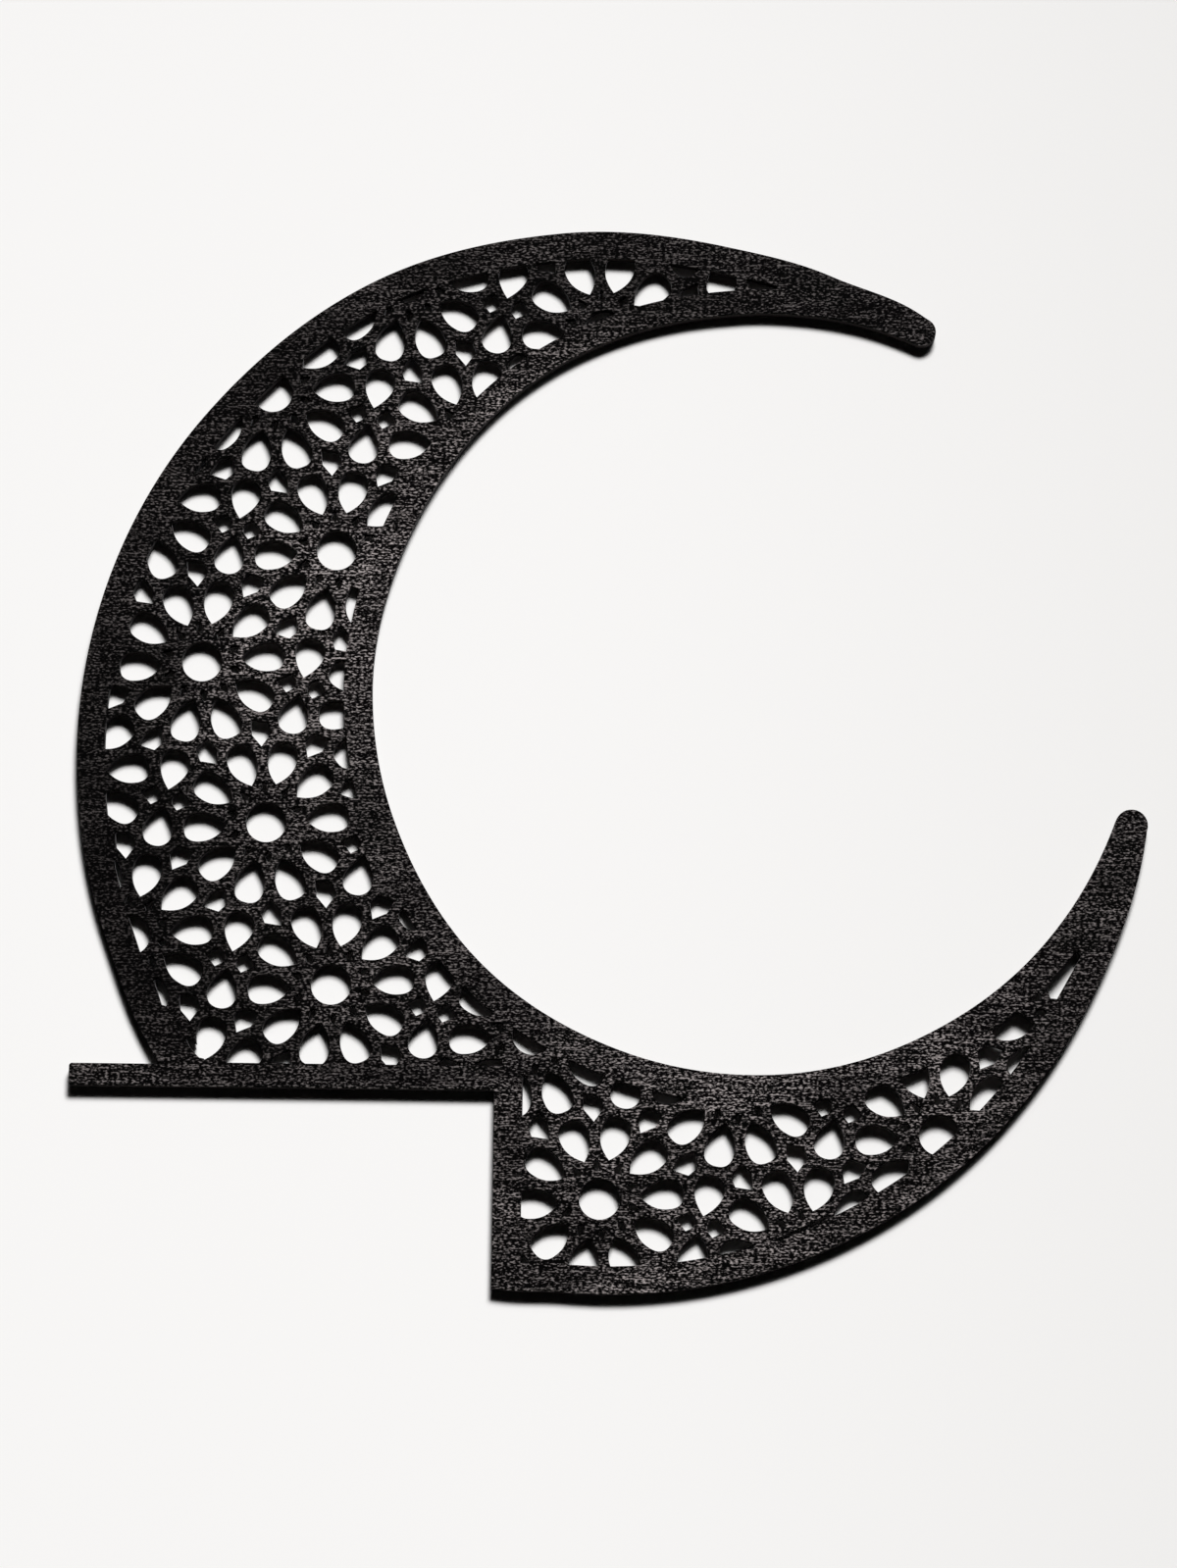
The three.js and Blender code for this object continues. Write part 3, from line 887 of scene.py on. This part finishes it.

# %% [markdown]
# Black paint over fine grain
#
# Close up, the black isn't even. The paint has sunk into the rotary-cut veneer, and fine broken streaks
# of grain run across the sheet and catch the lamp. Their light colour is partly the grain itself and
# partly a painted glint for the lamp's shine on them. One node group makes those streaks from
# stretched noise, with a slower noise that lets patches of the sheet show more of them than others.

# %% Grain
SHORT_STREAKS, LONG_STREAKS, PATCHES = (1000, 1000, 2300), (150, 150, 2000), (26, 26, 55)
SHORT_SHARE, LONG_SHARE = 0.72, 0.28
STREAK_EDGE, PATCH_EDGE = (0.495, 0.66), (0.3, 0.7)


def grain_group():
    group, given, made = new_group(
        "Veneer grain",
        [("Vector", "NodeSocketVector", None), ("Fineness", "NodeSocketFloat", 1.0)],
        [("Streaks", "NodeSocketFloat"), ("Patches", "NodeSocketFloat"), ("Height", "NodeSocketFloat")],
    )
    nodes, links = group.nodes, group.links
    scaled = nodes.new("ShaderNodeVectorMath")
    scaled.operation = "SCALE"
    links.new(given.outputs["Vector"], scaled.inputs[0])
    links.new(given.outputs["Fineness"], scaled.inputs["Scale"])
    place = scaled.outputs[0]
    short = noise(nodes, links, stretched(nodes, links, place, SHORT_STREAKS), detail=1.0, roughness=0.6)
    long = noise(nodes, links, stretched(nodes, links, place, LONG_STREAKS), detail=1.0, roughness=0.6)
    patches = noise(nodes, links, stretched(nodes, links, place, PATCHES), detail=3.0, roughness=0.55)
    woven = combine(nodes, links, "ADD", combine(nodes, links, "MULTIPLY", short, SHORT_SHARE),
                    combine(nodes, links, "MULTIPLY", long, LONG_SHARE))
    links.new(ramp(nodes, links, woven, *STREAK_EDGE), made.inputs["Streaks"])
    links.new(ramp(nodes, links, patches, *PATCH_EDGE), made.inputs["Patches"])
    links.new(woven, made.inputs["Height"])
    return group


grain = grain_group()
print("grain group with", len(grain.nodes), "nodes")

# %% [markdown]
# Where the streaks are painted brightest
#
# How strongly the streaks show is painted sheen: they are painted weakest along the outer rim and in
# the tips, and strongest along the inner rim. Each share below fades from one share of streaks to
# another between two distances in metres, and the lower right of the moon, beyond a slanting line, has
# a share of its own. Slow patches make every share uneven, and a streak is a little smoother than the
# paint beside it.

# %% Black paint
# Painted sheen: these shares set how brightly the streaks are painted in each region of the sheet.
RIM_SHEEN, BELLY_SHEEN = (0.09, 0.122, 1.0, 0.27), (0.075, 0.095, 0.5, 1.0)
LEAST_SHEEN, TIP_SHEEN = (0.006, 0.012, 0.42, 0.17), (0.115, 0.14, 0.8, 0.42)
LOWER_SLANT = (-0.01, 0.04)
PATCH_SHARE, STREAK_ROUGHNESS = (0.0, 1.0, 0.6, 1.2), (0.0, 1.0, 0.7, 0.5)
# The streak colour is partly bare grain and partly a painted glint for the lamp's shine.
PAINT_BLACK, GRAIN_AND_GLINT = (0.0008, 0.0007, 0.0007, 1), (0.4, 0.356, 0.35, 1)

nodes, links, shader, place = start_material(painted)
veneer = nodes.new("ShaderNodeGroup")
veneer.node_tree = grain
links.new(place, veneer.inputs["Vector"])
veneer.inputs["Fineness"].default_value = 1.0
across = nodes.new("ShaderNodeSeparateXYZ")
links.new(place, across.inputs[0])
from_centre = nodes.new("ShaderNodeVectorMath")
from_centre.operation = "DISTANCE"
links.new(place, from_centre.inputs[0])
from_centre.inputs[1].default_value = (OUTER_CENTRE[0] * MM, 0, OUTER_CENTRE[1] * MM)
# Painted sheen by region, made uneven below by random patches of the grain.
rim = ramp(nodes, links, from_centre.outputs["Value"], *RIM_SHEEN)
belly = ramp(nodes, links, across.outputs["Z"], *BELLY_SHEEN)
least = ramp(nodes, links, across.outputs["Z"], *LEAST_SHEEN)
left = combine(nodes, links, "MAXIMUM", combine(nodes, links, "MULTIPLY", rim, belly), least)
tip = ramp(nodes, links, across.outputs["X"], *TIP_SHEEN)
slant = combine(nodes, links, "SUBTRACT", across.outputs["X"], across.outputs["Z"])
lower = ramp(nodes, links, slant, *LOWER_SLANT)
gain = combine(nodes, links, "MULTIPLY", lower, combine(nodes, links, "SUBTRACT", tip, left))
sheen_share = combine(nodes, links, "ADD", left, gain)
uneven = ramp(nodes, links, veneer.outputs["Patches"], *PATCH_SHARE)
sheen_and_patches = combine(nodes, links, "MULTIPLY", sheen_share, uneven)
streaks = combine(nodes, links, "MULTIPLY", veneer.outputs["Streaks"], sheen_and_patches)
# Painted glint: the streaks are painted lighter, partly as grain and partly for the lamp's shine.
links.new(mix_colour(nodes, links, streaks, PAINT_BLACK, GRAIN_AND_GLINT), shader.inputs["Base Color"])
links.new(ramp(nodes, links, veneer.outputs["Streaks"], *STREAK_ROUGHNESS), shader.inputs["Roughness"])
shader.inputs["Specular IOR Level"].default_value = 0.02
bump(nodes, links, shader, veneer.outputs["Height"], strength=0.35, distance=0.0002)
sheet_data.materials.append(painted)
print("black paint with", len(nodes), "nodes")

# %% [markdown]
# Charred edges
#
# The laser burns its way through, so the walls of every opening are charcoal, darker than the painted
# faces and a little brown, with the thin lines of the three plies and fine marks of the beam across
# them.

# %% Charred edges
PLY_LINES, BEAM_MARKS, BURN_RAMP = (30, 900, 30), (2200, 120, 2200), (0.12, 0.45)
CHARCOAL, SCORCHED = (0.0008, 0.0005, 0.0004, 1), (0.012, 0.0055, 0.004, 1)

charred = bpy.data.materials.new("charred_edge")
nodes, links, shader, place = start_material(charred)
plies = noise(nodes, links, stretched(nodes, links, place, PLY_LINES), detail=1.0, roughness=0.5)
beam = noise(nodes, links, stretched(nodes, links, place, BEAM_MARKS), detail=2.0, roughness=0.6)
burn = combine(nodes, links, "MULTIPLY", plies, beam)
scorch = ramp(nodes, links, burn, *BURN_RAMP)
links.new(mix_colour(nodes, links, scorch, CHARCOAL, SCORCHED), shader.inputs["Base Color"])
shader.inputs["Roughness"].default_value = 0.85
shader.inputs["Specular IOR Level"].default_value = 0.2
bump(nodes, links, shader, beam, strength=0.4, distance=0.0001)
sheet_data.materials.append(charred)

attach(sheet, "root")
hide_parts("lattice_panel")
print("sheet rides on the frame")

# %% [markdown]
# Foam pads
#
# Double-sided foam tape is a soft dark core between two thin films of glue. Each strip is cut with a
# knife, so its ends are square, but its long sides sink in a little between the films. A rounded
# rectangle is drawn in seven layers, widest at the films and narrowest half way.

# %% Pad shape
PAD_LENGTH, PAD_WIDTH, PAD_CORNER, PAD_SHARP_ANGLE = 24.0, 5.0, 0.5, 40
FILM, END_SHARE = 0.08, 0.3
PAD_QUARTER_TURN = range(0, 91, 18)
PAD_LAYERS = [(0.0, 0.0), (FILM, 0.02), (0.25, 0.12), (0.5, 0.17), (0.75, 0.12), (1 - FILM, 0.02),
              (1.0, 0.0)]


def pad_ring(shrink):
    length, width = PAD_LENGTH / 2 - shrink * END_SHARE, PAD_WIDTH / 2 - shrink
    ring = []
    for x, y, start in ((1, 1, 0), (-1, 1, 90), (-1, -1, 180), (1, -1, 270)):
        centre = (x * (length - PAD_CORNER), y * (width - PAD_CORNER))
        ring += [point_at(centre, PAD_CORNER, start + turn) for turn in PAD_QUARTER_TURN]
    return ring


def pad_mesh(name, place, direction):
    points, faces, films = [], [], []
    for depth, shrink in PAD_LAYERS:
        ring = turned(pad_ring(shrink), direction, place)
        points += [(x * MM, -STAND_OFF * (1 - depth) * MM, z * MM) for x, z in ring]
    count = len(points) // len(PAD_LAYERS)
    for layer in range(len(PAD_LAYERS) - 1):
        for i in range(count):
            j = (i + 1) % count
            a = layer * count
            faces.append((a + i, a + j, a + count + j, a + count + i))
            films.append(layer in (0, len(PAD_LAYERS) - 2))
    faces.append(tuple(range(count)))
    faces.append(tuple(range(len(points) - 1, len(points) - count - 1, -1)))
    films += [True, True]
    mesh = bpy.data.meshes.new(name)
    mesh.from_pydata(points, [], faces)
    mesh.polygons.foreach_set("material_index", [1 if film else 0 for film in films])
    mesh.polygons.foreach_set("use_smooth", [True] * len(faces))
    mesh.update()
    mesh.flip_normals()
    mesh.set_sharp_from_angle(angle=math.radians(PAD_SHARP_ANGLE))
    return mesh


print("a pad in", len(PAD_LAYERS), "layers of", len(pad_ring(0)), "points")

# %% [markdown]
# Foam and glue
#
# The core is soft black foam with fine closed cells, which never shines. The glue films are smoother and
# a little smeared.

# %% Foam
FOAM_CELLS, CELL_WALLS = 3500, (0.1, 0.6)
FOAM_DARK, FOAM_PALE = (0.009, 0.0085, 0.008, 1), (0.024, 0.023, 0.022, 1)

foam = bpy.data.materials.new("foam_core")
nodes, links, shader, place = start_material(foam)
cells = nodes.new("ShaderNodeTexVoronoi")
cells.inputs["Scale"].default_value = FOAM_CELLS
links.new(place, cells.inputs["Vector"])
cell_walls = ramp(nodes, links, cells.outputs["Distance"], *CELL_WALLS)
links.new(mix_colour(nodes, links, cell_walls, FOAM_DARK, FOAM_PALE), shader.inputs["Base Color"])
shader.inputs["Roughness"].default_value = 0.95
bump(nodes, links, shader, cells.outputs["Distance"], strength=0.6, distance=0.0001)
print("foam with", len(nodes), "nodes")

# %% Glue film
GLUE_SMEARS, SMEAR_EDGE, GLUE_ROUGHNESS = (300, 300, 300), (0.3, 0.7), (0.3, 0.5)
GLUE_DARK, GLUE_PALE = (0.012, 0.011, 0.01, 1), (0.026, 0.024, 0.022, 1)

glue = bpy.data.materials.new("glue_film")
nodes, links, shader, place = start_material(glue)
smears = noise(nodes, links, stretched(nodes, links, place, GLUE_SMEARS), detail=3.0, roughness=0.6)
smeared = ramp(nodes, links, smears, *SMEAR_EDGE)
links.new(mix_colour(nodes, links, smeared, GLUE_DARK, GLUE_PALE), shader.inputs["Base Color"])
links.new(ramp(nodes, links, smears, *SMEAR_EDGE, *GLUE_ROUGHNESS), shader.inputs["Roughness"])
bump(nodes, links, shader, smears, strength=0.2, distance=0.0001)
print("glue film with", len(nodes), "nodes")

# %% [markdown]
# Where the pads sit
#
# Five pads follow the outer rim, one follows the inner rim, and two lie along the ledge. All of them
# touch the sheet's back and reach the wall, and none shows through an opening.

# %% Pads
OUTER_PADS, INNER_PAD, INNER_PAD_TURN, PAD_INSET = (72, 122, 172, 288, 334), 214, 304, 6.0


def pad_places():
    places = [(outer_edge(turn, OUTER_RIM / 2), turn + 90) for turn in OUTER_PADS]
    places.append((inner_rim_point(INNER_PAD, 0.5), INNER_PAD_TURN))
    reach = PAD_INSET + PAD_LENGTH / 2
    places.append((np.array([reach - LEDGE_LENGTH, LEDGE_HEIGHT / 2]), 0))
    places.append((np.array([-reach, LEDGE_HEIGHT / 2]), 0))
    return places


for number, (where, direction) in enumerate(pad_places(), 1):
    mesh = pad_mesh(f"tape_pad_{number}", where, direction)
    mesh.materials.append(foam)
    mesh.materials.append(glue)
    pad = bpy.data.objects.new(f"tape_pad_{number}", mesh)
    scene.collection.objects.link(pad)
    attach(pad, "root")
    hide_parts(f"foam_pad_{number}")
print("eight pads of", PAD_LENGTH, "by", PAD_WIDTH, "mm")

# %% Finish
made_low, made_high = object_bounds()
boxes = {"solids": [list(solid_low), list(solid_high)], "dressed": [list(made_low), list(made_high)]}
for name, box in boxes.items():
    print(name, "box in mm", [[round(value / MM, 2) for value in corner] for corner in box])
